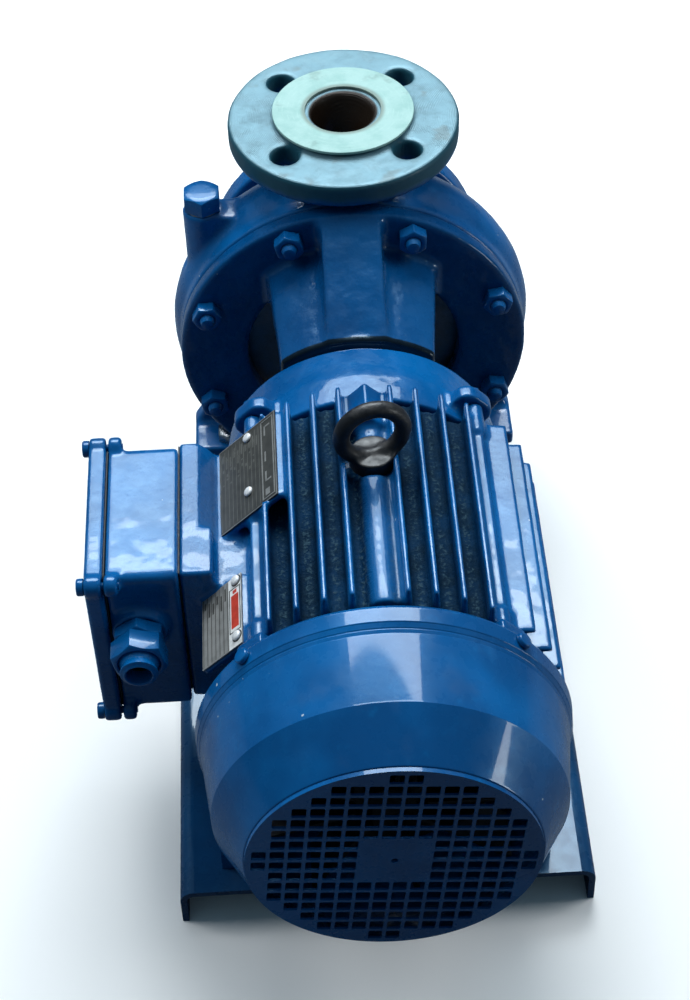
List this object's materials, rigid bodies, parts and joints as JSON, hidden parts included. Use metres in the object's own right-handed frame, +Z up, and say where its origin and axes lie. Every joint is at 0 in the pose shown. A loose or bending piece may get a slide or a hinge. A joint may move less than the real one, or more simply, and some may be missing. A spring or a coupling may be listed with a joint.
{
  "type": "centrifugal water pump",
  "caption": "Close-coupled end suction water pump: volute casing with top discharge flange, open lantern, finned motor with terminal box and fan cowl, on a folded base.",
  "frame": {"origin": "centre of the suction flange face, on the shaft axis", "axes": "+Y out of the suction flange along the shaft, +Z up out of the discharge flange, +X to the right seen from the fan cowl"},
  "size_m": [0.2945, 0.555, 0.297],
  "materials": {
    "blue_cast": "gloss enamel over cast iron",
    "blue_sheet": "gloss enamel over sheet steel",
    "blue_fasteners": "gloss enamel over steel",
    "green_fibre": "matt compressed fibre",
    "fibre": "matt compressed fibre",
    "grey_iron": "machined",
    "bronze": "cast and machined",
    "brass": "machined",
    "steel": "machined",
    "black_steel": "black forged",
    "ceramic": "lapped",
    "carbon": "lapped carbon",
    "rubber": "matt",
    "lamination": "stacked sheet",
    "copper": "varnished wire",
    "black_plastic": "moulded",
    "plate": "etched",
    "aluminium": "plain"
  },
  "bodies": {
    "housing": {"volute_casing": "blue_cast", "casing_wear_ring": "bronze", "casing_gasket": "fibre", "seal_cover": "grey_iron", "pump_lantern": "blue_cast", "casing_studs": "blue_fasteners", "casing_nuts": "blue_fasteners", "discharge_gasket": "green_fibre", "filler_seal": "fibre", "filler_plug": "blue_fasteners", "drain_plug": "blue_fasteners", "pump_foot_bolts": "steel", "seal_seat": "ceramic", "bearing_outer_rings": "steel", "bearing_wave_washer": "steel", "drive_end_shield": "blue_cast", "lantern_screws": "blue_fasteners", "shaft_lip_seal": "rubber", "motor_frame": "blue_cast", "stator_core": "lamination", "stator_windings": "copper", "rear_end_shield": "blue_cast", "end_shield_screws": "blue_fasteners", "fan_cowl": "blue_sheet", "cowl_screws": "blue_fasteners", "eye_bolt": "black_steel", "pedestal_gasket": "rubber", "terminal_box": "blue_cast", "cover_gasket": "rubber", "terminal_box_cover": "blue_cast", "cover_screws": "blue_fasteners", "terminal_board": "black_plastic", "terminal_studs": "brass", "cable_gland": "blue_fasteners", "gland_seal": "rubber", "gland_nut": "blue_fasteners", "motor_nameplate": "plate", "pump_nameplate": "plate", "nameplate_rivets": "aluminium", "packing_bars": "blue_sheet", "motor_foot_bolts": "steel", "base_frame": "blue_sheet"},
    "rotor": {"impeller": "bronze", "impeller_key": "steel", "impeller_nut": "steel", "seal_ring": "carbon", "seal_spring": "steel", "stub_shaft": "steel", "stub_grub_screws": "steel", "shaft_key": "steel", "water_thrower": "rubber", "motor_shaft": "steel", "rotor_core": "lamination", "bearing_inner_rings": "steel", "cooling_fan": "black_plastic", "fan_circlip": "steel"},
    "front_balls": {"front_bearing_balls": "steel", "front_ball_cage": "brass"},
    "rear_balls": {"rear_bearing_balls": "steel", "rear_ball_cage": "brass"}
  },
  "joints": [
    {"name": "shaft_spin", "type": "hinge", "parent": "housing", "child": "rotor", "pos_m": [0, 0, 0], "axis": [0, 1, 0], "continuous": true},
    {"name": "front_cage_spin", "type": "hinge", "parent": "housing", "child": "front_balls", "pos_m": [0, -0.222, 0], "axis": [0, 1, 0], "continuous": true},
    {"name": "rear_cage_spin", "type": "hinge", "parent": "housing", "child": "rear_balls", "pos_m": [0, -0.422, 0], "axis": [0, 1, 0], "continuous": true}
  ],
  "couplings": [
    {"joint": "front_cage_spin", "follows": "shaft_spin", "ratio": 0.3967},
    {"joint": "rear_cage_spin", "follows": "shaft_spin", "ratio": 0.3967}
  ]
}
